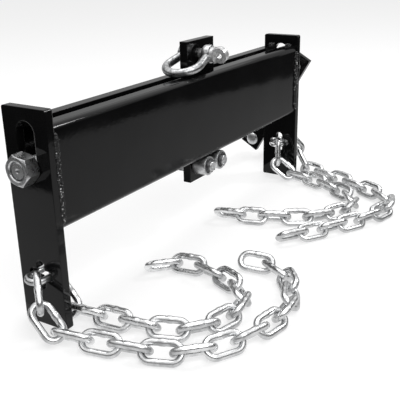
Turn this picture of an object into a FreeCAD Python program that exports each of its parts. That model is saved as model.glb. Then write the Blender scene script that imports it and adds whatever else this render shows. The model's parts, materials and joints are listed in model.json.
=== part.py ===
import FreeCAD, Part
import math
import os

from FreeCAD import Placement, Rotation, Vector

# Engine load leveler in millimetres: +X along the beam to the crank, -Y to the front, +Z up.
# The origin is on the floor, midway between the two end plates.

# Clearances shared by all the fits
running_clearance = 0.05
seat_clearance = 0.3
cut_overrun = 2.0

# Beam: two formed channels, toe to toe, with a slot between their flanges
beam_length = 506.0
beam_height = 100.0
beam_depth = 50.0
beam_wall = 5.0
beam_corner_r = 7.0
beam_slot = 14.0

# End plates with the screw's slot and the cross-shaped chain hole
plate_thick = 9.0
plate_width = 53.0
plate_height = 216.0
plate_rise = 15.0
plate_corner_r = 2.5
screw_slot_width = 22.0
screw_slot_margin = 12.0
cross_z = 54.0
cross_span = 30.0
cross_arm = 10.5
weld_leg = 7.0

# Lead screw with its two retaining nuts
screw_d = 18.0
screw_drop = 39.5
screw_chamfer = 1.5
screw_recess = 1.5
nut_flats = 27.0
nut_height = 15.0
nut_turn_deg = 12.0

# Crank on the right end of the screw
arm_gap = 43.0
arm_width = 31.0
arm_thick = 8.0
arm_overhang = 20.0
arm_tip = 13.5
crank_radius = 145.0
crank_rest_deg = 30.5
spindle_d = 10.0
spindle_head_d = 20.0
spindle_head_h = 4.0
spindle_end = 2.0
grip_d = 22.0
grip_length = 46.0

# Carriage: lifting plate, travelling nut and roller plate
carriage_x = 23.0
lift_thick = 10.0
lift_width = 59.0
lift_rise = 38.0
lift_hole_d = 14.0
block_length = 52.0
block_width = 34.0
block_height = 34.0
block_edge_r = 3.0
roller_plate_drop = 33.0

# Rollers under the beam
roller_d = 24.0
roller_length = 18.5
roller_spacing = 29.0
roller_pin_d = 12.0
roller_pin_end = 5.0

# Bow shackle, laid over to the left on top of the beam
shackle_pin_drop = 17.0
bow_d = 10.0
bow_sides = 8
bow_bends = 8
bow_r = 21.0
bow_reach = 31.0
ear_y = 16.0
ear_d = 22.0
ear_thick = 10.0
shackle_pin_d = 12.0
pin_collar_d = 18.0
pin_collar_thick = 4.5
pin_tail = 3.0
eye_d = 19.0
eye_thick = 7.0
eye_hole_d = 7.0
eye_root = 3.0
eye_turn_deg = 92.0

# Chain of welded links in round bar
wire_d = 7.0
wire_sides = 6
link_pitch = 30.4
link_inner_width = 11.0
crown_normals_deg = (-90, -45, 0, 45, 90)
floor_roll_deg = 45.0
moving_links = 4
bend_lift = 1.3
settle_rounds = 40

# Play between links, as a share of the wire: the outer legs are pulled straighter than the inner ones
hang_slack_share = 0.15
outer_slack_share = 0.18
inner_slack_share = 0.19

# Directions of the links of each leg, seen from above in degrees from +X
# The first two hang from the hole, the first of them at the given dip, and the rest lie on the floor
leg_dip_deg = {"left_outer": 46, "left_inner": 80, "right_inner": 72, "right_outer": 46}
leg_headings_deg = {
    "left_outer": (-134, -86, -80, -78, -76, -68, -46, -30, -19, -10, 6, 24, 38, 62, 96),
    "left_inner": (20, -100, -84, -84, -81, -70, -40, -14, 12, 44, 66, 76, 100, 134),
    "right_inner": (-150, -84, -100, -112, -116, -122, -146, -178, -206, -226, -236, -246, -252, -256),
    "right_outer": (-50, -110, -111, -112, -113, -114, -117, -132, -163, -192, -204, -209, -211, -213, -216),
}


def corner_radius(radius, sides):
    """The corner radius of a regular polygon with the area of a circle."""
    return radius * math.sqrt(2 * math.pi / (sides * math.sin(2 * math.pi / sides)))


# Places worked out from the sizes above
half_beam = beam_length / 2
plate_outer_x = half_beam + plate_thick
plate_mid_x = half_beam + plate_thick / 2
beam_top_z = plate_height - plate_rise
beam_bottom_z = beam_top_z - beam_height
screw_z = beam_top_z - screw_drop
screw_r = screw_d / 2
arm_x = plate_outer_x + arm_gap
roller_z = beam_bottom_z - seat_clearance - roller_d / 2
lift_face_y = lift_thick / 2
lift_top_z = beam_top_z + lift_rise
roller_plate_bottom_z = beam_bottom_z - roller_plate_drop
roller_inner_y = lift_face_y + seat_clearance
roller_outer_y = roller_inner_y + roller_length
roller_pin_y = roller_outer_y + roller_pin_end
ear_outer_y = ear_y + ear_thick / 2
shackle_pin_z = lift_top_z - shackle_pin_drop
bow_rest_z = beam_top_z + bow_d / 2 + seat_clearance
bow_rest_deg = math.degrees(math.asin((shackle_pin_z - bow_rest_z) / (bow_reach + bow_r)))
wire_r = wire_d / 2
wire_corner_r = corner_radius(wire_r, wire_sides)
crown_r = (link_inner_width + wire_d) / 2
crown_x = link_pitch / 2 + wire_r - crown_r
link_reach = link_pitch / 2 + wire_r
hole_link_z = cross_z - cross_arm / 2 + wire_corner_r + seat_clearance
floor_axis_z = wire_corner_r + crown_r * math.sin(math.radians(floor_roll_deg))

axis_x = Vector(1, 0, 0)
axis_y = Vector(0, 1, 0)
axis_z = Vector(0, 0, 1)


def box(x0, x1, y0, y1, z0, z1):
    return Part.makeBox(x1 - x0, y1 - y0, z1 - z0, Vector(x0, y0, z0))


def x_rod(radius, x0, x1, y, z):
    return Part.makeCylinder(radius, x1 - x0, Vector(x0, y, z), axis_x)


def y_rod(radius, y0, y1, x, z):
    return Part.makeCylinder(radius, y1 - y0, Vector(x, y0, z), axis_y)


def edges_along(shape, axis):
    found = []
    for edge in shape.Edges:
        if len(edge.Vertexes) < 2:
            continue
        run = edge.Vertexes[1].Point - edge.Vertexes[0].Point
        if abs(run.dot(axis)) > run.Length * math.cos(math.radians(1)):
            found.append(edge)
    return found


def flat_slot(x0, x1, y, z0, z1, width):
    """An upright slot with round ends through a plate that faces X."""
    radius = width / 2
    low = x_rod(radius, x0, x1, y, z0 + radius)
    high = x_rod(radius, x0, x1, y, z1 - radius)
    middle = box(x0, x1, y - radius, y + radius, z0 + radius, z1 - radius)
    return low.fuse([high, middle]).removeSplitter()


def chamfered_rod(radius, chamfer, start, end, direction):
    """A round bar along a direction, with both end edges chamfered."""
    bar = Part.makeCylinder(radius, end - start, direction * start, direction)
    rims = [edge for edge in bar.Edges if edge.Closed]
    return bar.makeChamfer(chamfer, rims)


def bar_ring(point, before, after, corner_r, sides):
    """The corners of a bent bar's section on the mitre between two level runs."""
    outward = Vector(before.y + after.y, -before.x - after.x, 0).normalize()
    mitre = corner_r / math.cos(before.getAngle(after) / 2)
    ring = []
    for side in range(sides):
        angle = 2 * math.pi * (side + 0.5) / sides
        ring.append(point + outward * (mitre * math.cos(angle)) + axis_z * (corner_r * math.sin(angle)))
    return ring


def bent_bar(path, radius, sides, closed):
    """A bar bent along level points, with flat sides and mitred bends that stand for its rounds."""
    runs = [(end - start).normalize() for start, end in zip(path, path[1:])]
    joint = (path[0] - path[-1]).normalize()
    before = [joint if closed else runs[0]] + runs
    after = runs + [joint if closed else runs[-1]]
    corner_r = corner_radius(radius, sides)
    rings = [bar_ring(*place, corner_r, sides) for place in zip(path, before, after)]
    faces = []
    for ring, other in zip(rings, rings[1:] + rings[:1] if closed else rings[1:]):
        for side in range(sides):
            near = (side + 1) % sides
            corners = [ring[side], ring[near], other[near], other[side], ring[side]]
            faces.append(Part.Face(Part.makePolygon(corners)))
    if not closed:
        faces += [Part.Face(Part.makePolygon(ring + ring[:1])) for ring in (rings[0], rings[-1])]
    bar = Part.makeSolid(Part.makeShell(faces))
    if bar.Volume < 0:
        bar.reverse()
    return bar


# Beam

def beam_channels():
    outer = box(-half_beam, half_beam, -beam_depth / 2, beam_depth / 2, beam_bottom_z, beam_top_z)
    outer = outer.makeFillet(beam_corner_r, edges_along(outer, axis_x))
    reach = half_beam + cut_overrun
    side = beam_depth / 2 - beam_wall
    hollow = box(-reach, reach, -side, side, beam_bottom_z + beam_wall, beam_top_z - beam_wall)
    hollow = hollow.makeFillet(beam_corner_r - beam_wall, edges_along(hollow, axis_x))
    low = beam_bottom_z - cut_overrun
    high = beam_top_z + cut_overrun
    slot = box(-reach, reach, -beam_slot / 2, beam_slot / 2, low, high)
    halves = outer.cut([hollow, slot]).Solids
    front, rear = sorted(halves, key=lambda solid: solid.CenterOfMass.y)
    return front, rear


# End plates and the welds that hold the channels to them

def end_plate(side):
    inner = side * half_beam
    outer = side * plate_outer_x
    low, high = sorted((inner, outer))
    plate = box(low, high, -plate_width / 2, plate_width / 2, 0, plate_height)
    plate = plate.makeFillet(plate_corner_r, edges_along(plate, axis_x))
    low -= cut_overrun
    high += cut_overrun
    slot_bottom = screw_z - screw_r - seat_clearance
    slot = flat_slot(low, high, 0, slot_bottom, plate_height - screw_slot_margin, screw_slot_width)
    upright = flat_slot(low, high, 0, cross_z - cross_span / 2, cross_z + cross_span / 2, cross_arm)
    level = upright.copy()
    level.rotate(Vector(0, 0, cross_z), axis_x, 90)
    return plate.cut([slot, upright, level])


def weld_bead(side_x, side_y):
    web_y = side_y * beam_depth / 2
    edge_y = side_y * plate_width / 2
    inner_x = side_x * half_beam
    toe = Vector(inner_x - side_x * weld_leg, web_y, beam_bottom_z + beam_corner_r)
    root = Vector(inner_x, web_y, beam_bottom_z + beam_corner_r)
    crest = Vector(inner_x, edge_y, beam_bottom_z + beam_corner_r)
    section = Part.Face(Part.makePolygon([toe, root, crest, toe]))
    return section.extrude(axis_z * (beam_height - 2 * beam_corner_r))


def end_welds():
    beads = [weld_bead(side_x, side_y) for side_x in (-1, 1) for side_y in (-1, 1)]
    return Part.makeCompound(beads)


# Lead screw and nuts

def lead_screw():
    left = -plate_outer_x - seat_clearance - nut_height + screw_recess
    right = arm_x + arm_thick
    screw = chamfered_rod(screw_r, screw_chamfer, left, right, axis_x)
    screw.translate(axis_z * screw_z)
    return screw


def hex_nut(x0):
    corner_r = nut_flats / math.sqrt(3)
    points = []
    for index in range(7):
        angle = math.radians(60 * index + nut_turn_deg)
        points.append(Vector(x0, corner_r * math.cos(angle), corner_r * math.sin(angle)))
    prism = Part.Face(Part.makePolygon(points)).extrude(axis_x * nut_height)
    nut = prism.cut(x_rod(screw_r + running_clearance, x0, x0 + nut_height, 0, 0))
    nut.translate(axis_z * screw_z)
    return nut


def lock_nuts():
    left_x = -plate_outer_x - seat_clearance - nut_height
    right_x = plate_outer_x + seat_clearance
    return Part.makeCompound([hex_nut(left_x), hex_nut(right_x)])


# Crank, built hanging straight down from the screw and then swung back to its rest angle

def swing_to_rest(shape):
    shape.rotate(Vector(0, 0, screw_z), axis_x, crank_rest_deg)
    return shape


def crank_arm():
    low = screw_z - crank_radius - arm_tip
    arm = box(arm_x, arm_x + arm_thick, -arm_width / 2, arm_width / 2, low, screw_z + arm_overhang)
    reach = (arm_x - cut_overrun, arm_x + arm_thick + cut_overrun)
    bore = x_rod(screw_r + running_clearance, *reach, 0, screw_z)
    hole = x_rod(spindle_d / 2 + running_clearance, *reach, 0, screw_z - crank_radius)
    return swing_to_rest(arm.cut([bore, hole]))


grip_x = arm_x + arm_thick + seat_clearance
grip_end_x = grip_x + grip_length
grip_z = screw_z - crank_radius


def grip_spindle():
    """A pin riveted through the arm's tip, with its head on the arm's inner face."""
    head = x_rod(spindle_head_d / 2, arm_x - spindle_head_h, arm_x, 0, grip_z)
    stem = x_rod(spindle_d / 2, arm_x, grip_end_x + spindle_end, 0, grip_z)
    return swing_to_rest(head.fuse(stem).removeSplitter())


def crank_grip():
    """A sleeve that spins on the spindle."""
    sleeve = x_rod(grip_d / 2, grip_x, grip_end_x, 0, grip_z)
    bore = x_rod(spindle_d / 2 + running_clearance, grip_x, grip_end_x, 0, grip_z)
    return swing_to_rest(sleeve.cut(bore))


# Carriage that the screw drives along the slot

def carriage_plate(z0, z1):
    left = carriage_x - lift_width / 2
    return box(left, left + lift_width, -lift_face_y, lift_face_y, z0, z1)


def lift_plate():
    plate = carriage_plate(screw_z + block_height / 2, lift_top_z)
    reach = lift_face_y + cut_overrun
    return plate.cut(y_rod(lift_hole_d / 2, -reach, reach, carriage_x, shackle_pin_z))


def roller_xs():
    return (carriage_x - roller_spacing / 2, carriage_x + roller_spacing / 2)


def roller_plate():
    plate = carriage_plate(roller_plate_bottom_z, screw_z - block_height / 2)
    reach = lift_face_y + cut_overrun
    radius = roller_pin_d / 2 + running_clearance
    return plate.cut([y_rod(radius, -reach, reach, x, roller_z) for x in roller_xs()])


def travelling_nut():
    left = carriage_x - block_length / 2
    right = left + block_length
    half_width = block_width / 2
    half_height = block_height / 2
    block = box(left, right, -half_width, half_width, screw_z - half_height, screw_z + half_height)
    block = block.makeFillet(block_edge_r, edges_along(block, axis_x))
    bore = x_rod(screw_r + running_clearance, left - cut_overrun, right + cut_overrun, 0, screw_z)
    return block.cut(bore)


def roller_pin(x):
    return y_rod(roller_pin_d / 2, -roller_pin_y, roller_pin_y, x, roller_z)


def roller(x, side):
    near, far = sorted((side * roller_inner_y, side * roller_outer_y))
    sleeve = y_rod(roller_d / 2, near, far, x, roller_z)
    return sleeve.cut(y_rod(roller_pin_d / 2 + running_clearance, near, far, x, roller_z))


# Shackle, built level towards -X from its pin and then lowered onto the beam

def lower_bow(shape):
    shape.translate(Vector(carriage_x, 0, shackle_pin_z))
    shape.rotate(Vector(carriage_x, 0, shackle_pin_z), axis_y, -bow_rest_deg)
    return shape


def bow_path():
    """The bow's centre line from eye to eye, round the crown by points where tangents to it meet."""
    reach = math.hypot(bow_reach, ear_y)
    half_open = math.atan2(ear_y, -bow_reach) - math.acos(bow_r / reach)
    step = 2 * half_open / bow_bends
    radius = bow_r / math.cos(step / 2)
    path = [Vector(0, -ear_y, 0)]
    for bend in range(bow_bends):
        angle = math.pi + half_open - step * (bend + 0.5)
        path.append(Vector(radius * math.cos(angle) - bow_reach, radius * math.sin(angle), 0))
    return path + [Vector(0, ear_y, 0)]


def shackle_bow():
    """A bow of round bar between two eyes: straight legs run at a tangent into the round crown."""
    eyes = []
    for side in (-1, 1):
        near, far = sorted((side * (ear_y - ear_thick / 2), side * ear_outer_y))
        eyes.append(y_rod(ear_d / 2, near, far, 0, 0))
    bow = bent_bar(bow_path(), bow_d / 2, bow_sides, False).fuse(eyes)
    face_r = pin_collar_d / 2 + seat_clearance
    far_y = ear_outer_y + ear_thick
    bore = y_rod(shackle_pin_d / 2 + running_clearance, -far_y, far_y, 0, 0)
    front_face = y_rod(face_r, -far_y, -ear_outer_y, 0, 0)
    rear_face = y_rod(face_r, ear_outer_y, far_y, 0, 0)
    return lower_bow(bow.cut([bore, front_face, rear_face]).removeSplitter())


def shackle_pin():
    """A screw pin: shank, collar against the front eye, and a flat drilled head to turn it by."""
    collar_y = -ear_outer_y - seat_clearance
    shank = y_rod(shackle_pin_d / 2, collar_y, ear_outer_y + pin_tail, 0, 0)
    collar = y_rod(pin_collar_d / 2, collar_y - pin_collar_thick, collar_y, 0, 0)
    eye_y = collar_y - pin_collar_thick - eye_d / 2 + eye_root
    half_thick = eye_thick / 2
    eye = Part.makeCylinder(eye_d / 2, eye_thick, Vector(0, eye_y, -half_thick), axis_z)
    neck = box(-eye_d / 4, eye_d / 4, eye_y, collar_y - pin_collar_thick, -half_thick, half_thick)
    hole = Part.makeCylinder(eye_hole_d / 2, eye_thick, Vector(0, eye_y, -half_thick), axis_z)
    head = eye.fuse(neck).cut(hole)
    head.rotate(Vector(0, 0, 0), axis_y, eye_turn_deg)
    return lower_bow(shank.fuse([collar, head]).removeSplitter())


# Chain

def crown_points():
    """The corners of one crown's centre line, where tangents to the round crown meet."""
    points = []
    for first, second in zip(crown_normals_deg, crown_normals_deg[1:]):
        angle = math.radians((first + second) / 2)
        radius = crown_r / math.cos(math.radians((second - first) / 2))
        points.append(Vector(crown_x + radius * math.cos(angle), radius * math.sin(angle), 0))
    return points


def chain_link():
    """One link about the origin, long along X and flat in XY."""
    right = crown_points()
    path = right + [Vector(-point.x, -point.y, 0) for point in right]
    return bent_bar(path, wire_r, wire_sides, True)


def placed_link(link, centre, direction, normal):
    """A copy of the link at a centre, long along a direction, lying in the plane of a normal."""
    copy = link.copy()
    copy.Placement = Placement(centre, Rotation(direction, normal.cross(direction), normal, "XZY"))
    return copy


def heading_vector(heading_deg, dip_deg):
    """A direction from its heading, seen from above, and its dip below level."""
    heading = math.radians(heading_deg)
    dip = math.radians(dip_deg)
    return Vector(math.cos(heading) * math.cos(dip), math.sin(heading) * math.cos(dip), -math.sin(dip))


def hung_spread(parent, direction):
    """The way across a hanging link: along its parent's normal, square to its own length."""
    normal = parent[2]
    return (normal - direction * normal.dot(direction)).normalize()


def laid_spread(parent, direction):
    """The way across a link on the floor, which leans to the side that its parent leaves free."""
    lean = math.radians(floor_roll_deg)
    left = axis_z.cross(direction)
    leans = [axis_z * math.sin(lean) + left * (side * math.cos(lean)) for side in (-1, 1)]
    return max(leans, key=lambda choice: abs(choice.dot(parent[2])))


def hung_link(parent, direction, spread, play):
    """The frame of a link that pulls square across its parent's crown."""
    centre, last_direction, last_normal = parent
    contact = spread.cross(last_normal.cross(last_direction)).normalize()
    if contact.dot(direction + last_direction) < 0:
        contact = -contact
    hook = centre + last_direction * link_reach
    return (hook - contact * play + direction * link_reach, direction, direction.cross(spread))


def laid_height(direction, spread, turns_left):
    """The height of a link on the floor: those that lean away from the bend ride a little higher."""
    leans_right = spread.dot(axis_z.cross(direction)) < 0
    return floor_axis_z + (bend_lift if leans_right == turns_left else 0)


def laid_link(parent, direction, play, turns_left):
    """The frame of a link on the floor, halfway round the bend from its parent."""
    centre, last_direction = parent[:2]
    spread = laid_spread(parent, direction)
    hook = centre + last_direction * link_reach
    middle = hook - (last_direction + direction) * (play / 2) + direction * link_reach
    middle.z = laid_height(direction, spread, turns_left)
    return (middle, direction, direction.cross(spread))


def settled_pair(parent, headings, turns_left):
    """The second hanging link, at the dip that brings the first link on the floor to its height."""
    low = 0
    high = 90
    play = wire_d * (1 + hang_slack_share)
    laid = heading_vector(headings[1], 0)
    for _ in range(settle_rounds):
        dip = (low + high) / 2
        direction = heading_vector(headings[0], dip)
        hung = hung_link(parent, direction, hung_spread(parent, direction), play)
        spread = laid_spread(hung, laid)
        first = hung_link(hung, laid, spread, play)
        if first[0].z > laid_height(laid, spread, turns_left):
            low = dip
        else:
            high = dip
    return [hung, first]


def leg_frames(side_x, hole_side, headings, dip_deg, slack_share):
    """Centre, direction and plane normal of each link of one leg, from the chain hole to its free end."""
    pull = heading_vector(headings[0], 0)
    crown_centre = Vector(side_x * plate_mid_x + hole_side * crown_x, 0, hole_link_z)
    hole_frame = (crown_centre + pull * (crown_r - link_reach), pull, axis_z)
    direction = heading_vector(headings[0], dip_deg)
    play = wire_d * (1 + hang_slack_share)
    frames = [hung_link(hole_frame, direction, hung_spread(hole_frame, direction), play)]
    turns_left = headings[-1] > headings[2]
    frames += settled_pair(frames[0], headings[1:3], turns_left)
    play = wire_d * (1 + slack_share)
    for heading in headings[3:]:
        frames.append(laid_link(frames[-1], heading_vector(heading, 0), play, turns_left))
    return frames


def leg(name, side_x, hole_side):
    slack_share = outer_slack_share if side_x == hole_side else inner_slack_share
    return leg_frames(side_x, hole_side, leg_headings_deg[name], leg_dip_deg[name], slack_share)


legs = {
    "left_outer": leg("left_outer", -1, -1),
    "left_inner": leg("left_inner", -1, 1),
    "right_inner": leg("right_inner", 1, -1),
    "right_outer": leg("right_outer", 1, 1),
}


def hole_link(link, side_x):
    return placed_link(link, Vector(side_x * plate_mid_x, 0, hole_link_z), axis_x, axis_z)


def chain_nodes():
    """Each leg's resting links share a node, and each of its last links has its own."""
    link = chain_link()
    nodes = {
        "left_hole_link": hole_link(link, -1),
        "right_hole_link": hole_link(link, 1),
    }
    for leg, frames in legs.items():
        links = [placed_link(link, *frame) for frame in frames]
        fixed = len(links) - moving_links
        nodes[leg + "_chain"] = Part.makeCompound(links[:fixed])
        for number, moving in enumerate(links[fixed:], 1):
            nodes[leg + "_end_link_" + str(number)] = moving
    return nodes


def all_nodes():
    front, rear = beam_channels()
    left_x, right_x = roller_xs()
    nodes = {
        "front_channel": front,
        "rear_channel": rear,
        "left_end_plate": end_plate(-1),
        "right_end_plate": end_plate(1),
        "end_welds": end_welds(),
        "lead_screw": lead_screw(),
        "lock_nuts": lock_nuts(),
        "crank_arm": crank_arm(),
        "grip_spindle": grip_spindle(),
        "crank_grip": crank_grip(),
        "lift_plate": lift_plate(),
        "travelling_nut": travelling_nut(),
        "roller_plate": roller_plate(),
        "left_roller_pin": roller_pin(left_x),
        "right_roller_pin": roller_pin(right_x),
        "front_left_roller": roller(left_x, -1),
        "front_right_roller": roller(right_x, -1),
        "rear_left_roller": roller(left_x, 1),
        "rear_right_roller": roller(right_x, 1),
        "shackle_bow": shackle_bow(),
        "shackle_pin": shackle_pin(),
    }
    nodes.update(chain_nodes())
    return nodes


os.makedirs("parts", exist_ok=True)
for name, shape in all_nodes().items():
    shape.exportStep("parts/" + name + ".step")
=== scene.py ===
import json
import math

import bmesh
import bpy
from mathutils import Matrix, Vector, noise

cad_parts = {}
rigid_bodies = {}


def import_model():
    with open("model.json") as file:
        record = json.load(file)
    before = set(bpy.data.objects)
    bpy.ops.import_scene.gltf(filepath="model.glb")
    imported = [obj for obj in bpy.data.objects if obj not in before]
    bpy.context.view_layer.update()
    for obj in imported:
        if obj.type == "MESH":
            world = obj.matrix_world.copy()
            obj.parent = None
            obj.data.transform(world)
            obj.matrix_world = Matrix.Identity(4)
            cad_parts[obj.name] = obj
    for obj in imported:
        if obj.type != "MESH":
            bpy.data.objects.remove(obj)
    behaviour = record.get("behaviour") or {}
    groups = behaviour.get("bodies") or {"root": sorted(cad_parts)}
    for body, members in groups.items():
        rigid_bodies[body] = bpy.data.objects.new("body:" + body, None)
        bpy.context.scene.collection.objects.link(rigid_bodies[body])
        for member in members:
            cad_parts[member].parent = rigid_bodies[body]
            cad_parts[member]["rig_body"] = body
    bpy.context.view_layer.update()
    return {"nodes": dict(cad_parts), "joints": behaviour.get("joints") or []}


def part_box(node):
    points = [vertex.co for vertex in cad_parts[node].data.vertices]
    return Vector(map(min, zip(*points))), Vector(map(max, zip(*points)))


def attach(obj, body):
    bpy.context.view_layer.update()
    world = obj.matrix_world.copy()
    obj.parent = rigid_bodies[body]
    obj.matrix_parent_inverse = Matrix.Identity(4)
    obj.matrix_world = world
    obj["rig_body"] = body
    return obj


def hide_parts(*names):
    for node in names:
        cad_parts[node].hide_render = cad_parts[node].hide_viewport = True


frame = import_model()

# Engine load leveler in metres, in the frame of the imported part
mm = 0.001
nodes = frame["nodes"]
joints = {joint["name"]: joint for joint in frame["joints"]}
axis_x = Vector((1, 0, 0))
axis_y = Vector((0, 1, 0))
axis_z = Vector((0, 0, 1))

# Clearances: round a pin, on the screw's thread, in a circlip's groove, and where one piece seats on another
running_clearance = 0.05 * mm
thread_clearance = 0.1 * mm
groove_clearance = 0.02 * mm
seat_clearance = 0.3 * mm

# Meshes: sides of a turned piece, how close points and edges are merged, and how sharp an edge stays crisp
lathe_segments = 72
same_point = 0.01 * mm
sliver_width = 0.02 * mm
crease_deg = 38.0

# Chain links of round bar, with a butt weld halfway along the side that faces up or away from the camera
wire_d = 7.0 * mm
link_inner_length = 30.4 * mm
link_inner_width = 11.0 * mm
weld_length = 5.0 * mm
weld_swell_share = 0.1
weld_side = Vector((0.5, 0.35, 1))
wire_segments = 16
crown_steps = 12
side_steps = 12
direction_rounds = 30

# Lead screw with a trapezoid thread
screw_lead = 4.0 * mm
thread_depth = 1.6 * mm
thread_crest_share = 0.38
thread_flank_share = 0.14
thread_segments = 32
thread_rows_per_turn = 10
screw_chamfer = 1.5 * mm
screw_centre_r = 2.6 * mm
screw_centre_depth = 2.2 * mm

# Lock nuts
nut_flats = 27.0 * mm
nut_turn_deg = 12.0
nut_cone_deg = 30.0
nut_cone_steps = 6
nut_face_share = 0.95
nut_bore_edge = 1.0 * mm
nut_segments = 120

# Carriage: rollers, pins and circlips
roller_edge = 1.2 * mm
pin_edge = 0.8 * mm
circlip_d = 19.0 * mm
circlip_thick = 1.5 * mm
circlip_gap = 0.3 * mm
circlip_mouth_deg = 44.0
circlip_thin_share = 0.72
circlip_lug_share = 0.06
circlip_steps = 40

# Crank: grip, and the riveted head of its spindle
grip_edge = 3.0 * mm
spindle_d = 10.0 * mm
spindle_edge = 0.8 * mm
spindle_dome_share = 0.8
spindle_dome_steps = 8

# Bow shackle
bow_d = 10.0 * mm
bow_r = 21.0 * mm
bow_reach = 31.0 * mm
ear_y = 16.0 * mm
ear_d = 22.0 * mm
ear_thick = 10.0 * mm
ear_edge = 2.0 * mm
shackle_pin_d = 12.0 * mm
bow_segments = 24
bow_steps = 40

# Weld beads up the beam's webs and along its top flanges, from near the slot to near the fold
beam_slot = 14.0 * mm
beam_corner_r = 7.0 * mm
top_bead_slot_share = 0.62
top_bead_fold_share = 0.7
bead_d = 6.5 * mm
bead_segments = 20
bead_ripple = 2.4 * mm
bead_ripple_share = 0.12
bead_rows_per_ripple = 5
bead_lump = 3.0 * mm
bead_lump_share = 0.3
bead_fine_times = 2.7
bead_fine_share = 0.5
bead_end_share = 0.5
bead_taper_rise = 12

# The photograph's camera, in the object's frame
camera_place = Vector((-672.66, -442.33, 349.35)) * mm
camera_azimuth_deg = -57.52
camera_elevation_deg = 20.9
camera_roll_deg = -1.29
camera_focal_px = 683.94
camera_clip_start = 10 * mm
picture_px = 400
sensor_mm = 36.0

# Studio: how bright the floor and the sky are, and the set's sizes
floor_half = 6.0
floor_tone = 0.45
floor_glow = 0.6
sky_seen = 1.0
sky_lit = 0.55
card_lift = 1.0 * mm
ring_r = 2.2
ring_steps = 48
lamp_aim = Vector((0, 0, 0.1))


# Mesh helpers

def new_object(name, mesh):
    piece = bpy.data.objects.new(name, mesh)
    bpy.context.scene.collection.objects.link(piece)
    return piece


def mesh_from(name, points, faces):
    """A mesh whose faces all look outwards."""
    mesh = bpy.data.meshes.new(name)
    mesh.from_pydata(points, [], faces)
    mesh.validate()
    fixed = bmesh.new()
    fixed.from_mesh(mesh)
    bmesh.ops.recalc_face_normals(fixed, faces=fixed.faces)
    fixed.to_mesh(mesh)
    fixed.free()
    return mesh


def shade(piece, sharp_deg=crease_deg):
    """Smooth faces, with the edges sharper than an angle left crisp."""
    for polygon in piece.data.polygons:
        polygon.use_smooth = True
    piece.data.set_sharp_from_angle(angle=math.radians(sharp_deg))


def shaded_piece(name, points, faces, sharp_deg=crease_deg):
    piece = new_object(name, mesh_from(name, points, faces))
    shade(piece, sharp_deg)
    return piece


def spokes(count, side, other):
    """Unit vectors in even steps round a circle, from one direction towards another."""
    angles = [2 * math.pi * step / count for step in range(count)]
    return [side * math.cos(angle) + other * math.sin(angle) for angle in angles]


def grid_faces(rings, size, closed_rings):
    """Quads between rows of equal rings of points."""
    faces = []
    for row in range(rings if closed_rings else rings - 1):
        start = row * size
        after = (row + 1) % rings * size
        for side in range(size):
            near = (side + 1) % size
            faces.append((start + side, start + near, after + near, after + side))
    return faces


def capped_faces(rings, size):
    """Quads between rows of equal rings of points, and a face over each end."""
    last = (rings - 1) * size
    return grid_faces(rings, size, False) + [tuple(range(size)), tuple(range(last, last + size))]


def joined(shapes):
    """The points and faces of several shapes as one."""
    points = []
    faces = []
    for more_points, more_faces in shapes:
        base = len(points)
        points += more_points
        faces += [tuple(base + corner for corner in face) for face in more_faces]
    return points, faces


def swept_bar(path, radii, segments, closed):
    """A round bar along points that lie level, with its own radius at each."""
    points = []
    count = len(path)
    for index, centre in enumerate(path):
        before = path[index - 1] if closed or index else centre
        after = path[(index + 1) % count] if closed or index < count - 1 else centre
        across = (after - before).normalized().cross(axis_z)
        points += [centre + spoke * radii[index] for spoke in spokes(segments, across, axis_z)]
    return points, grid_faces(count, segments, True) if closed else capped_faces(count, segments)


def turned(name, profile, start, direction, solid=False):
    """A lathe part from (distance along, radius) pairs: a closed section, or the side of a solid."""
    side = direction.orthogonal().normalized()
    around = spokes(lathe_segments, side, direction.cross(side))
    points = []
    for along, radius in profile:
        points += [start + direction * along + spoke * radius for spoke in around]
    if solid:
        return shaded_piece(name, points, capped_faces(len(profile), lathe_segments))
    return shaded_piece(name, points, grid_faces(len(profile), lathe_segments, True))


def eased_rim(length, radius, edge):
    """The outer side of a disc or sleeve with both edges eased."""
    ease = edge * (1 - math.sqrt(0.5))
    return [
        (0, radius - edge),
        (ease, radius - ease),
        (edge, radius),
        (length - edge, radius),
        (length - ease, radius - ease),
        (length, radius - edge),
    ]


def sleeve_profile(length, outer_r, inner_r, edge):
    """The closed section of a sleeve with both outer edges eased."""
    return [(0, inner_r)] + eased_rim(length, outer_r, edge) + [(length, inner_r)]


def rod_profile(length, radius, edge):
    """The side of a solid rod with both end edges chamfered."""
    return [(0, radius - edge), (edge, radius), (length - edge, radius), (length, radius - edge)]


def combined(piece, others, operation):
    """The mesh of a piece united with others or cut by them, as one closed surface; the objects go."""
    for other in others:
        step = piece.modifiers.new(operation, "BOOLEAN")
        step.operation = operation
        step.solver = "EXACT"
        step.object = other
    mesh = bpy.data.meshes.new_from_object(piece.evaluated_get(bpy.context.evaluated_depsgraph_get()))
    for used in [piece] + others:
        bpy.data.objects.remove(used)
    clean = bmesh.new()
    clean.from_mesh(mesh)
    bmesh.ops.remove_doubles(clean, verts=clean.verts, dist=sliver_width)
    bmesh.ops.triangulate(clean, faces=clean.faces)
    bmesh.ops.dissolve_degenerate(clean, edges=clean.edges, dist=sliver_width)
    clean.to_mesh(mesh)
    clean.free()
    return mesh


def dress(piece, body, slot, material, *replaced):
    """Gives a piece its material, hangs it on a body and hides the solids that it stands for."""
    piece.data.materials.clear()
    piece.data.materials.append(material)
    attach(piece, body)
    if replaced:
        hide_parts(*replaced)
    return piece


def body_of_node(node):
    return nodes[node]["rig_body"]


# Materials

def new_material(name):
    material = bpy.data.materials.new(name)
    material.use_nodes = True
    tree = material.node_tree
    shader = tree.nodes["Principled BSDF"]
    return material, tree, shader


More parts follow.
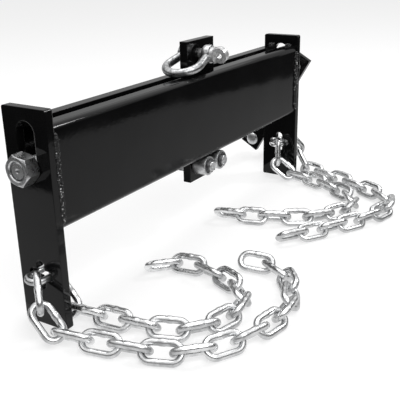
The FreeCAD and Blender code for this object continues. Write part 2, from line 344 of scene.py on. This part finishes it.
def object_noise(tree, scale, detail):
    """Cloudy noise that stays fixed to the piece."""
    place = tree.nodes.new("ShaderNodeTexCoord")
    texture = tree.nodes.new("ShaderNodeTexNoise")
    texture.inputs["Scale"].default_value = scale
    texture.inputs["Detail"].default_value = detail
    texture.inputs["Roughness"].default_value = 0.6
    tree.links.new(place.outputs["Object"], texture.inputs["Vector"])
    return texture.outputs["Fac"]


def maths(tree, operation, *values):
    """A maths node over sockets and plain numbers."""
    node = tree.nodes.new("ShaderNodeMath")
    node.operation = operation
    for socket, value in zip(node.inputs, values):
        if isinstance(value, float):
            socket.default_value = value
        else:
            tree.links.new(value, socket)
    return node.outputs[0]


def ramp(tree, value, low, high):
    """A ramp of colour on a texture's value, between two (position, colour) stops."""
    node = tree.nodes.new("ShaderNodeValToRGB")
    for element, (position, colour) in zip(node.color_ramp.elements, (low, high)):
        element.position = position
        element.color = (*colour, 1)
    tree.links.new(value, node.inputs["Fac"])
    return node.outputs["Color"]


def grey(tone):
    return (tone, tone, tone)


def edge_round(tree, radius):
    """The surface's own normal with its sharp edges softened."""
    bevel = tree.nodes.new("ShaderNodeBevel")
    bevel.samples = 6
    bevel.inputs["Radius"].default_value = radius
    return bevel.outputs["Normal"]


def bump(tree, height, strength, distance, normal=None):
    """Raises a surface by a texture, on top of a normal worked out before."""
    node = tree.nodes.new("ShaderNodeBump")
    node.inputs["Strength"].default_value = strength
    node.inputs["Distance"].default_value = distance
    tree.links.new(height, node.inputs["Height"])
    if normal:
        tree.links.new(normal, node.inputs["Normal"])
    return node.outputs["Normal"]


def black_paint(name, glossy, dull):
    """Black paint with a cloudy gloss: a faint orange peel over plate that isn't quite flat."""
    material, tree, shader = new_material(name)
    cloud = object_noise(tree, scale=22, detail=6)
    colour = ramp(tree, cloud, (0.3, (0.0022, 0.0022, 0.0023)), (0.75, (0.0042, 0.0042, 0.0044)))
    tree.links.new(colour, shader.inputs["Base Color"])
    gloss = ramp(tree, cloud, (0.3, grey(glossy)), (0.8, grey(dull)))
    tree.links.new(gloss, shader.inputs["Roughness"])
    shader.inputs["IOR"].default_value = 1.3
    plate = object_noise(tree, scale=14, detail=1)
    wave = bump(tree, plate, strength=0.25, distance=1.5 * mm, normal=edge_round(tree, 1.2 * mm))
    drops = object_noise(tree, scale=260, detail=2)
    peel = bump(tree, drops, strength=0.1, distance=0.3 * mm, normal=wave)
    tree.links.new(peel, shader.inputs["Normal"])
    return material


def plated_steel(name, dark, light, rough, grain=190.0, mottle=35.0, metal=1.0, bite=0.12):
    """Zinc or turned steel: large mottles under a cloudy plating with a fine grain."""
    material, tree, shader = new_material(name)
    patches = object_noise(tree, scale=mottle, detail=3)
    cloud = object_noise(tree, scale=grain, detail=5)
    mixed = maths(tree, "MULTIPLY_ADD", cloud, 0.5, maths(tree, "MULTIPLY", patches, 0.5))
    tree.links.new(ramp(tree, mixed, (0.38, dark), (0.62, light)), shader.inputs["Base Color"])
    shader.inputs["Metallic"].default_value = metal
    glossy, dull = rough
    gloss = ramp(tree, mixed, (0.36, grey(dull)), (0.64, grey(glossy)))
    tree.links.new(gloss, shader.inputs["Roughness"])
    fine = object_noise(tree, scale=grain * 3, detail=3)
    raised = bump(tree, fine, strength=bite, distance=0.25 * mm, normal=edge_round(tree, 0.4 * mm))
    tree.links.new(raised, shader.inputs["Normal"])
    return material


def rough_weld_paint():
    """Black paint over the coarse grain of a weld, with painted glints: bright specks in its colour that
    stand in for the lamps' glints on the lumps.
    """
    material, tree, shader = new_material("weld_paint")
    grain = object_noise(tree, scale=700, detail=4)
    specks = object_noise(tree, scale=480, detail=1)
    # Painted glints: bright grey specks in the base colour, standing in for the lamps' glints on the weld's
    # lumps
    painted_glints = ramp(tree, specks, (0.665, (0.003, 0.003, 0.0032)), (0.7, grey(0.6)))
    tree.links.new(painted_glints, shader.inputs["Base Color"])
    gloss = ramp(tree, grain, (0.3, grey(0.08)), (0.8, grey(0.2)))
    tree.links.new(gloss, shader.inputs["Roughness"])
    shader.inputs["IOR"].default_value = 1.4
    raised = bump(tree, grain, strength=0.8, distance=0.6 * mm)
    tree.links.new(raised, shader.inputs["Normal"])
    return material


def black_grip_rubber():
    material, tree, shader = new_material("black_grip")
    cloud = object_noise(tree, scale=60, detail=4)
    colour = ramp(tree, cloud, (0.3, grey(0.012)), (0.8, grey(0.03)))
    tree.links.new(colour, shader.inputs["Base Color"])
    shader.inputs["Roughness"].default_value = 0.55
    skin = object_noise(tree, scale=900, detail=2)
    raised = bump(tree, skin, strength=0.25, distance=0.2 * mm)
    tree.links.new(raised, shader.inputs["Normal"])
    return material


paint = black_paint("black_paint", glossy=0.05, dull=0.1)
worn_paint = black_paint("worn_black_paint", glossy=0.26, dull=0.4)
chain_zinc = plated_steel(
    "zinc_chain", dark=(0.5, 0.505, 0.51), light=(0.88, 0.885, 0.89), rough=(0.2, 0.38), grain=130, bite=0.03
)
shackle_zinc = plated_steel(
    "galvanised_steel", dark=(0.2, 0.205, 0.21), light=(0.7, 0.705, 0.71), rough=(0.24, 0.46),
    grain=260, mottle=90,
)
nut_zinc = plated_steel(
    "zinc_fastener", dark=(0.42, 0.425, 0.43), light=(0.74, 0.745, 0.75), rough=(0.22, 0.4), grain=300
)
pin_zinc = plated_steel(
    "galvanised_pin", dark=(0.24, 0.245, 0.25), light=grey(0.95), rough=(0.26, 0.46), grain=260, metal=0.75
)
turned_steel = plated_steel(
    "turned_steel", dark=(0.46, 0.465, 0.47), light=(0.68, 0.685, 0.69), rough=(0.3, 0.44), grain=260
)
clip_steel = plated_steel(
    "circlip_steel", dark=(0.06, 0.06, 0.062), light=(0.13, 0.13, 0.135), rough=(0.35, 0.5)
)
weld_paint = rough_weld_paint()
grip_black = black_grip_rubber()

# Solids that are shown as they are
solid_looks = {
    paint: ("front_channel", "rear_channel", "left_end_plate", "right_end_plate", "crank_arm", "lift_plate"),
    worn_paint: ("roller_plate", "travelling_nut"),
    pin_zinc: ("shackle_pin",),
}
for look, painted in solid_looks.items():
    for node in painted:
        nodes[node].data.materials.clear()
        nodes[node].data.materials.append(look)


# Chain

def link_outline():
    """The centre line of a link, long along X and flat in XY."""
    crown_r = (link_inner_width + wire_d) / 2
    crown_x = (link_inner_length + wire_d) / 2 - crown_r
    path = []
    for half in (1, -1):
        for step in range(crown_steps):
            angle = math.pi * (step / crown_steps - 0.5)
            path.append(Vector((crown_x + crown_r * math.cos(angle), crown_r * math.sin(angle), 0)) * half)
        for step in range(side_steps):
            share = step / side_steps
            path.append(Vector((crown_x * (1 - 2 * share), crown_r, 0)) * half)
    return path


def weld_radius(point):
    """The bar is a little thicker at the butt weld, halfway along the side at +Y."""
    if point.y <= 0 or abs(point.x) > weld_length / 2:
        return wire_d / 2
    return wire_d / 2 * (1 + weld_swell_share)


def link_shape():
    path = link_outline()
    return swept_bar(path, [weld_radius(point) for point in path], wire_segments, True)


def connected_points(first, reached):
    """All points of the solid that a vertex belongs to; their indices join those reached before."""
    reached.add(first.index)
    front = [first]
    points = []
    while front:
        vertex = front.pop()
        points.append(vertex.co.copy())
        for edge in vertex.link_edges:
            other = edge.other_vert(vertex)
            if other.index not in reached:
                reached.add(other.index)
                front.append(other)
    return points


def link_places(node):
    """A frame for each link of a node, from its separate solids."""
    solid = bmesh.new()
    solid.from_mesh(nodes[node].data)
    bmesh.ops.remove_doubles(solid, verts=solid.verts, dist=same_point)
    solid.verts.index_update()
    reached = set()
    places = []
    for vertex in solid.verts:
        if vertex.index not in reached:
            places.append(link_place(connected_points(vertex, reached)))
    solid.free()
    return sorted(places, key=lambda place: tuple(place.translation))


def link_place(points):
    """A frame at the middle of a link: X along it, and Y across it towards the welded side."""
    centre = sum(points, Vector()) / len(points)
    arms = [point - centre for point in points]
    along = main_direction(arms)
    across = main_direction([arm - along * arm.dot(along) for arm in arms])
    if across.dot(weld_side) < 0:
        across.negate()
    turn = Matrix((along, across, along.cross(across))).transposed()
    return Matrix.Translation(centre) @ turn.to_4x4()


def main_direction(arms):
    """The way in which arms reach furthest, by turning the longest one towards the rest a few times."""
    direction = max(arms, key=lambda arm: arm.length).normalized()
    for _ in range(direction_rounds):
        pull = Vector()
        for arm in arms:
            pull += arm * arm.dot(direction)
        direction = pull.normalized()
    return direction


def chain_piece(node):
    link_points, link_faces = link_shape()
    links = [([place @ point for point in link_points], link_faces) for place in link_places(node)]
    piece = shaded_piece(node + "_round", *joined(links), sharp_deg=60)
    dress(piece, body_of_node(node), "zinc_chain", chain_zinc, node)


for name in sorted(nodes):
    if name.endswith("_chain") or "_link" in name:
        chain_piece(name)


# Lead screw with its thread, and the two hexagon nuts

def screw_axis_and_radius():
    """The point of the screw's axis at X = 0, and its outer radius."""
    low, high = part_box("lead_screw")
    return Vector((0, (low.y + high.y) / 2, (low.z + high.z) / 2)), (high.z - low.z) / 2


def thread_radius(outer_r, phase):
    """A trapezoid thread: crest, flank, root and flank by the share of one turn."""
    crest = thread_crest_share
    flank = thread_flank_share
    if phase < crest:
        return outer_r
    if phase < crest + flank:
        return outer_r - thread_depth * (phase - crest) / flank
    if phase < 1 - flank:
        return outer_r - thread_depth
    return outer_r - thread_depth * (1 - phase) / flank


def drill_end(points, faces, first, middle, inward):
    """Closes an end of the screw, from the index of its last ring of points, round a drilled centre."""
    drilled = len(points)
    points += [middle + spoke * screw_centre_r for spoke in spokes(thread_segments, axis_y, axis_z)]
    points.append(middle + inward * screw_centre_depth)
    for step in range(thread_segments):
        after = (step + 1) % thread_segments
        faces.append((first + step, first + after, drilled + after, drilled + step))
        faces.append((drilled + step, drilled + after, drilled + thread_segments))


def threaded_screw():
    """The screw with its thread, eased off at both ends, and a centre drilled in each end face."""
    low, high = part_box("lead_screw")
    axis, outer_r = screw_axis_and_radius()
    rows = int((high.x - low.x) / screw_lead * thread_rows_per_turn)
    around = spokes(thread_segments, axis_y, axis_z)
    points = []
    for row in range(rows + 1):
        x = low.x + (high.x - low.x) * row / rows
        eased_r = outer_r - screw_chamfer + min(x - low.x, high.x - x, screw_chamfer)
        for step, spoke in enumerate(around):
            phase = (x / screw_lead - step / thread_segments) % 1
            points.append(axis + axis_x * x + spoke * min(thread_radius(outer_r, phase), eased_r))
    faces = grid_faces(rows + 1, thread_segments, False)
    drill_end(points, faces, 0, axis + axis_x * low.x, axis_x)
    drill_end(points, faces, rows * thread_segments, axis + axis_x * high.x, -axis_x)
    piece = shaded_piece("threaded_screw", points, faces, sharp_deg=25)
    dress(piece, body_of_node("lead_screw"), "zinc_fastener", nut_zinc, "lead_screw")


def hex_nut(x0, height, bore_r, axis):
    """A hexagon nut from X = x0 up, with its corners turned to a cone at both faces."""
    flat_r = nut_flats / 2
    face_r = flat_r * nut_face_share
    sixth = math.pi / 3
    slope = math.tan(math.radians(nut_cone_deg))
    cone = (flat_r / math.cos(sixth / 2) - face_r) * slope
    depths = [cone * step / nut_cone_steps for step in range(nut_cone_steps + 1)]
    rows = [(0, bore_r + nut_bore_edge)]
    rows += [(depth, face_r + depth / slope) for depth in depths]
    rows += [(height - depth, face_r + depth / slope) for depth in reversed(depths)]
    rows += [(height, bore_r + nut_bore_edge), (height - nut_bore_edge, bore_r), (nut_bore_edge, bore_r)]
    points = []
    for along, row_r in rows:
        for step, spoke in enumerate(spokes(nut_segments, axis_y, axis_z)):
            angle = 2 * math.pi * step / nut_segments - math.radians(nut_turn_deg)
            hexagon_r = flat_r / math.cos(angle % sixth - sixth / 2)
            points.append(axis + axis_x * (x0 + along) + spoke * min(hexagon_r, row_r))
    return points, grid_faces(len(rows), nut_segments, True)


def lock_nuts():
    low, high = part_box("lock_nuts")
    plate_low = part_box("left_end_plate")[0]
    axis, screw_r = screw_axis_and_radius()
    height = plate_low.x - low.x - seat_clearance
    bore_r = screw_r + thread_clearance
    nuts = [hex_nut(x0, height, bore_r, axis) for x0 in (low.x, high.x - height)]
    piece = shaded_piece("lock_nuts_turned", *joined(nuts), sharp_deg=25)
    dress(piece, body_of_node("lock_nuts"), "zinc_fastener", nut_zinc, "lock_nuts")


threaded_screw()
lock_nuts()


# Rollers, their pins and circlips

def cross_rod(node):
    """The start, length and radius of a round solid along Y."""
    low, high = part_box(node)
    start = Vector(((low.x + high.x) / 2, low.y, (low.z + high.z) / 2))
    return start, high.y - low.y, (high.z - low.z) / 2


def roller_piece(node, pin):
    start, length, radius = cross_rod(node)
    pin_r = cross_rod(pin)[2]
    profile = sleeve_profile(length, radius, pin_r + running_clearance, roller_edge)
    piece = turned(node + "_turned", profile, start, axis_y)
    dress(piece, body_of_node(node), "turned_steel", turned_steel, node)


def pin_piece(node):
    start, length, radius = cross_rod(node)
    piece = turned(node + "_turned", rod_profile(length, radius, pin_edge), start, axis_y, solid=True)
    dress(piece, body_of_node(node), "turned_steel", turned_steel, node)


def circlip_piece(pin, roller, side):
    """An open spring ring near the outer face of a roller, thinner towards the lugs at its mouth below."""
    pin_start, _, pin_r = cross_rod(pin)
    roller_low, roller_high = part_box(roller)
    face_y = roller_high.y if side > 0 else roller_low.y
    near = Vector((pin_start.x, face_y + side * circlip_gap, pin_start.z))
    far = near + axis_y * side * circlip_thick
    inner_r = pin_r + groove_clearance
    points = []
    for step in range(circlip_steps + 1):
        share = step / circlip_steps
        angle = math.radians(circlip_mouth_deg / 2 - 90 + share * (360 - circlip_mouth_deg))
        spoke = Vector((math.cos(angle), 0, math.sin(angle)))
        width_share = circlip_thin_share + (1 - circlip_thin_share) * math.sin(math.pi * share)
        if min(share, 1 - share) < circlip_lug_share:
            width_share = 1
        rim_r = inner_r + (circlip_d / 2 - inner_r) * width_share
        points += [near + spoke * inner_r, near + spoke * rim_r, far + spoke * rim_r, far + spoke * inner_r]
    piece = shaded_piece("circlip_" + roller, points, capped_faces(circlip_steps + 1, 4), sharp_deg=30)
    dress(piece, body_of_node(pin), "turned_steel", clip_steel)


for end in ("left", "right"):
    pin = end + "_roller_pin"
    pin_piece(pin)
    for face, side in (("front", -1), ("rear", 1)):
        roller = face + "_" + end + "_roller"
        roller_piece(roller, pin)
        circlip_piece(pin, roller, side)


# Crank: the grip and its spindle, along X from the arm's tip

def grip_axis_at(x):
    middle = Vector(joints["grip_spin"]["pos_m"])
    return Vector((x, middle.y, middle.z))


def grip_piece():
    low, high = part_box("crank_grip")
    bore_r = spindle_d / 2 + running_clearance
    profile = sleeve_profile(high.x - low.x, (high.z - low.z) / 2, bore_r, grip_edge)
    piece = turned("crank_grip_turned", profile, grip_axis_at(low.x), axis_x)
    dress(piece, body_of_node("crank_grip"), "black_grip", grip_black, "crank_grip")


def spindle_piece():
    """The spindle has a low domed head on the arm's inner face."""
    low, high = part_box("grip_spindle")
    arm_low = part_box("crank_arm")[0]
    length = high.x - low.x
    head_r = (high.z - low.z) / 2
    head_h = arm_low.x - low.x
    profile = []
    for step in range(1, spindle_dome_steps + 1):
        angle = math.pi / 2 * step / spindle_dome_steps
        profile.append((head_h * spindle_dome_share * (1 - math.cos(angle)), head_r * math.sin(angle)))
    profile += [(head_h, head_r), (head_h, spindle_d / 2)]
    profile += [(length - spindle_edge, spindle_d / 2), (length, spindle_d / 2 - spindle_edge)]
    piece = turned("grip_spindle_turned", profile, grip_axis_at(low.x), axis_x, solid=True)
    dress(piece, body_of_node("grip_spindle"), "turned_steel", turned_steel, "grip_spindle")


grip_piece()
spindle_piece()


# Shackle bow, built level towards -X from its pin and then lowered onto the beam

def bow_centre_line():
    """From eye to eye: straight legs run at a tangent into the round crown."""
    reach = math.hypot(bow_reach, ear_y)
    half_open = math.atan2(ear_y, -bow_reach) - math.acos(bow_r / reach)
    path = [Vector((0, -ear_y, 0))]
    for step in range(bow_steps + 1):
        angle = math.pi + half_open * (1 - 2 * step / bow_steps)
        path.append(Vector((bow_r * math.cos(angle) - bow_reach, bow_r * math.sin(angle), 0)))
    return path + [Vector((0, ear_y, 0))]


def forged_bow():
    """The level bow's mesh: bar and eyes run into each other, and the pin's bore goes through both eyes."""
    path = bow_centre_line()
    points, faces = swept_bar(path, [bow_d / 2] * len(path), bow_segments, False)
    bar = new_object("shackle_bow_bar", mesh_from("shackle_bow_bar", points, faces))
    rim = eased_rim(ear_thick, ear_d / 2, ear_edge)
    eyes = []
    for side in (-1, 1):
        start = Vector((0, side * ear_y - ear_thick / 2, 0))
        eyes.append(turned("shackle_eye", rim, start, axis_y, solid=True))
    forged = new_object("shackle_forged", combined(bar, eyes, "UNION"))
    far_y = ear_y + ear_thick
    bore_r = shackle_pin_d / 2 + running_clearance
    bore = turned("shackle_bore", [(0, bore_r), (2 * far_y, bore_r)], axis_y * -far_y, axis_y, solid=True)
    return combined(forged, [bore], "DIFFERENCE")


def bow_piece():
    pin = Vector(joints["shackle_swing"]["pos_m"])
    beam_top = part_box("front_channel")[1].z
    drop = pin.z - beam_top - seat_clearance - bow_d / 2
    tilt = math.asin(drop / (bow_reach + bow_r))
    mesh = forged_bow()
    mesh.transform(Matrix.Translation(pin) @ Matrix.Rotation(-tilt, 4, "Y"))
    piece = new_object("shackle_bow_round", mesh)
    shade(piece)
    dress(piece, body_of_node("shackle_bow"), "galvanised_steel", shackle_zinc, "shackle_bow")


bow_piece()


# Weld beads between the beam and the end plates

def bead_lumps(spot):
    """Coarse lumps with finer ones on them, fixed by the place of the spot."""
    coarse = spot / bead_lump
    return noise.noise(coarse) + bead_fine_share * noise.noise(coarse * bead_fine_times)


def bead_piece(name, start, end):
    """A bead from point to point whose surface ripples and lumps as the weld was laid."""
    run = end - start
    along = run.normalized()
    side = along.orthogonal().normalized()
    around = spokes(bead_segments, side, along.cross(side))
    rows = int(run.length / bead_ripple * bead_rows_per_ripple)
    points = []
    for row in range(rows + 1):
        share = row / rows
        centre = start + run * share
        ripple = math.sin(2 * math.pi * share * run.length / bead_ripple)
        taper = min(1, bead_end_share + bead_taper_rise * min(share, 1 - share))
        for spoke in around:
            lump = bead_lumps(centre + spoke * bead_d / 2)
            swell = 1 + bead_ripple_share * ripple + bead_lump_share * lump
            points.append(centre + spoke * (bead_d / 2 * taper * swell))
    piece = shaded_piece(name, points, capped_faces(rows + 1, bead_segments), sharp_deg=80)
    return dress(piece, "frame", "black_paint", weld_paint)


def beam_welds():
    """At each end of the beam, beads up both webs and along both top flanges, in place of the end welds,
    which are hidden.
    """
    low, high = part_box("front_channel")
    rear_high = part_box("rear_channel")[1]
    inset = bead_d / 4
    for end, end_x in (("left", low.x + inset), ("right", high.x - inset)):
        for face, sign, web_y in (("front", -1, low.y), ("rear", 1, rear_high.y)):
            bottom = Vector((end_x, web_y, low.z + beam_corner_r))
            top = Vector((end_x, web_y, high.z - beam_corner_r))
            bead_piece("weld_" + end + "_" + face, bottom, top)
            fold_y = web_y - sign * (inset + beam_corner_r * top_bead_fold_share)
            near = Vector((end_x, sign * beam_slot * top_bead_slot_share, high.z))
            bead_piece("top_weld_" + end + "_" + face, near, Vector((end_x, fold_y, high.z)))
    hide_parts("end_welds")


beam_welds()


# Studio: floor, cards that only reflections see, white sky, soft lights and camera

def light_path_mix(tree, seen, lit):
    """Joins what camera, gloss and glass see with what lights the object."""
    path = tree.nodes.new("ShaderNodeLightPath")
    direct = maths(tree, "MAXIMUM", path.outputs["Is Camera Ray"], path.outputs["Is Glossy Ray"])
    mix = tree.nodes.new("ShaderNodeMixShader")
    tree.links.new(maths(tree, "MAXIMUM", direct, path.outputs["Is Transmission Ray"]), mix.inputs[0])
    tree.links.new(lit, mix.inputs[1])
    tree.links.new(seen, mix.inputs[2])
    return mix.outputs[0]


def white_world():
    world = bpy.data.worlds.new("studio")
    bpy.context.scene.world = world
    world.use_nodes = True
    tree = world.node_tree
    lit = tree.nodes["Background"]
    seen = tree.nodes.new("ShaderNodeBackground")
    for sky, strength in ((lit, sky_lit), (seen, sky_seen)):
        sky.inputs["Color"].default_value = (1, 1, 1, 1)
        sky.inputs["Strength"].default_value = strength
    surface = light_path_mix(tree, seen.outputs[0], lit.outputs[0])
    tree.links.new(surface, tree.nodes["World Output"].inputs["Surface"])


def floor_material():
    """Pale paper: its own glow brings it to white, and the rest of its light takes the shadows."""
    material, tree, shader = new_material("pale_floor")
    shader.inputs["Base Color"].default_value = (*grey(floor_tone), 1)
    shader.inputs["Roughness"].default_value = 0.9
    shader.inputs["Specular IOR Level"].default_value = 0.0
    shader.inputs["Emission Color"].default_value = (1, 1, 1, 1)
    shader.inputs["Emission Strength"].default_value = floor_glow
    return material


def card_material(name, left_tone, right_tone, left_x, right_x):
    """A card whose glow runs from one tone to another along X, so that no lamp changes it: a glowing sheet
    that paints reflections.
    """
    material, tree, shader = new_material(name)
    shader.inputs["Base Color"].default_value = (0, 0, 0, 1)
    shader.inputs["Specular IOR Level"].default_value = 0.0
    shader.inputs["Emission Color"].default_value = (1, 1, 1, 1)
    place = tree.nodes.new("ShaderNodeTexCoord")
    split = tree.nodes.new("ShaderNodeSeparateXYZ")
    tree.links.new(place.outputs["Object"], split.inputs[0])
    span = tree.nodes.new("ShaderNodeMapRange")
    span.inputs["From Min"].default_value = left_x
    span.inputs["From Max"].default_value = right_x
    span.inputs["To Min"].default_value = left_tone
    span.inputs["To Max"].default_value = right_tone
    tree.links.new(split.outputs["X"], span.inputs["Value"])
    tree.links.new(span.outputs["Result"], shader.inputs["Emission Strength"])
    return material


def reflection_card(card, left_tone, right_tone):
    """A stage card that only reflections see: it lights nothing and shades nothing."""
    left_x = min(vertex.co.x for vertex in card.data.vertices)
    right_x = max(vertex.co.x for vertex in card.data.vertices)
    card.data.materials.append(card_material(card.name, left_tone, right_tone, left_x, right_x))
    card.visible_camera = False
    card.visible_diffuse = False
    card.visible_shadow = False


def rectangle(x0, y0, x1, y1):
    return [(x0, y0), (x1, y0), (x1, y1), (x0, y1)]


def level_sheet(name, corners, z):
    points = [Vector((x, y, z)) for x, y in corners]
    return new_object(name, mesh_from(name, points, [tuple(range(len(points)))]))


def ring_sheet(name, z0, z1, start_deg, end_deg):
    """An upright sheet bent round the set, which the rims of bright metal and the beam's folds reflect."""
    points = []
    for step in range(ring_steps + 1):
        angle = math.radians(start_deg + (end_deg - start_deg) * step / ring_steps)
        foot = Vector((ring_r * math.cos(angle), ring_r * math.sin(angle), 0))
        points += [foot + axis_z * z0, foot + axis_z * z1]
    faces = [(2 * step, 2 * step + 2, 2 * step + 3, 2 * step + 1) for step in range(ring_steps)]
    return new_object(name, mesh_from(name, points, faces))


def soft_light(name, place, size, watts):
    lamp = bpy.data.lights.new(name, "AREA")
    lamp.shape = "RECTANGLE"
    lamp.size, lamp.size_y = size
    lamp.energy = watts
    holder = bpy.data.objects.new(name, lamp)
    bpy.context.scene.collection.objects.link(holder)
    holder.location = place
    holder.rotation_euler = (lamp_aim - Vector(place)).to_track_quat("-Z", "Y").to_euler()


def photo_camera():
    azimuth = math.radians(camera_azimuth_deg)
    elevation = math.radians(camera_elevation_deg)
    level = Vector((math.sin(azimuth), -math.cos(azimuth), 0))
    back = level * math.cos(elevation) + axis_z * math.sin(elevation)
    right = axis_z.cross(back).normalized()
    up = back.cross(right)
    roll = Matrix.Rotation(math.radians(camera_roll_deg), 4, back)
    turn = roll @ Matrix((right, up, back)).transposed().to_4x4()
    data = bpy.data.cameras.new("photo_camera")
    data.sensor_width = sensor_mm
    data.lens = sensor_mm * camera_focal_px / picture_px
    data.clip_start = camera_clip_start
    camera = bpy.data.objects.new("photo_camera", data)
    bpy.context.scene.collection.objects.link(camera)
    camera.matrix_world = Matrix.Translation(camera_place) @ turn
    bpy.context.scene.camera = camera


floor = level_sheet("floor", rectangle(-floor_half, -floor_half, floor_half, floor_half), 0)
floor.data.materials.append(floor_material())

# Where the painted reflection in the beam's web turns from grey to dark: the edge between the glowing grey
# and dark cards on the floor
tone_edge = [(-0.54, -0.57), (0.27, -0.502), (0.5, -0.478), (0.73, -0.434), (0.88, -0.392), (1.5, -0.3)]

# Glowing cards on the floor that paint the reflections in the paint and metal: corners, then the tones at
# the left and right
floor_cards = {
    "front_grey_card": ([(-0.54, -0.05)] + tone_edge + [(1.5, -0.05)], 0.96, 0.13),
    "front_dark_card": ([(-3, -0.57)] + tone_edge + [(3, -0.3), (3, -3), (-3, -3)], 0.03, 0.03),
    "left_dark_card": (rectangle(-3, -0.57, -0.54, 3), 0.03, 0.03),
    "left_grey_card": (rectangle(-0.54, -0.05, -0.28, 1.2), 0.7, 0.7),
    "rear_dark_card": (rectangle(-0.24, 0.04, 0.25, 0.6), 0.05, 0.05),
}
for name, (corners, left_tone, right_tone) in floor_cards.items():
    reflection_card(level_sheet(name, corners, card_lift), left_tone, right_tone)

# Upright glowing cards that paint reflections: foot, top, start and end in degrees round Z, and tone
ring_cards = {
    "horizon_card": (0.02, 1.0, 80, 335, 0.03),
    "back_card": (0.02, 1.35, -25, 80, 0.5),
    "fold_card": (1.0, 2.3, 300, 335, 0.55),
}
for name, (z0, z1, start_deg, end_deg, tone) in ring_cards.items():
    reflection_card(ring_sheet(name, z0, z1, start_deg, end_deg), tone, tone)

white_world()
soft_light("key", place=(-1.0, -1.3, 1.7), size=(1.4, 1.4), watts=18)
soft_light("fill", place=(1.25, -1.0, 1.55), size=(0.28, 0.28), watts=8)
soft_light("top", place=(0.1, 0.3, 2.0), size=(1.6, 1.0), watts=14)
photo_camera()
bpy.context.scene.view_settings.view_transform = "Standard"
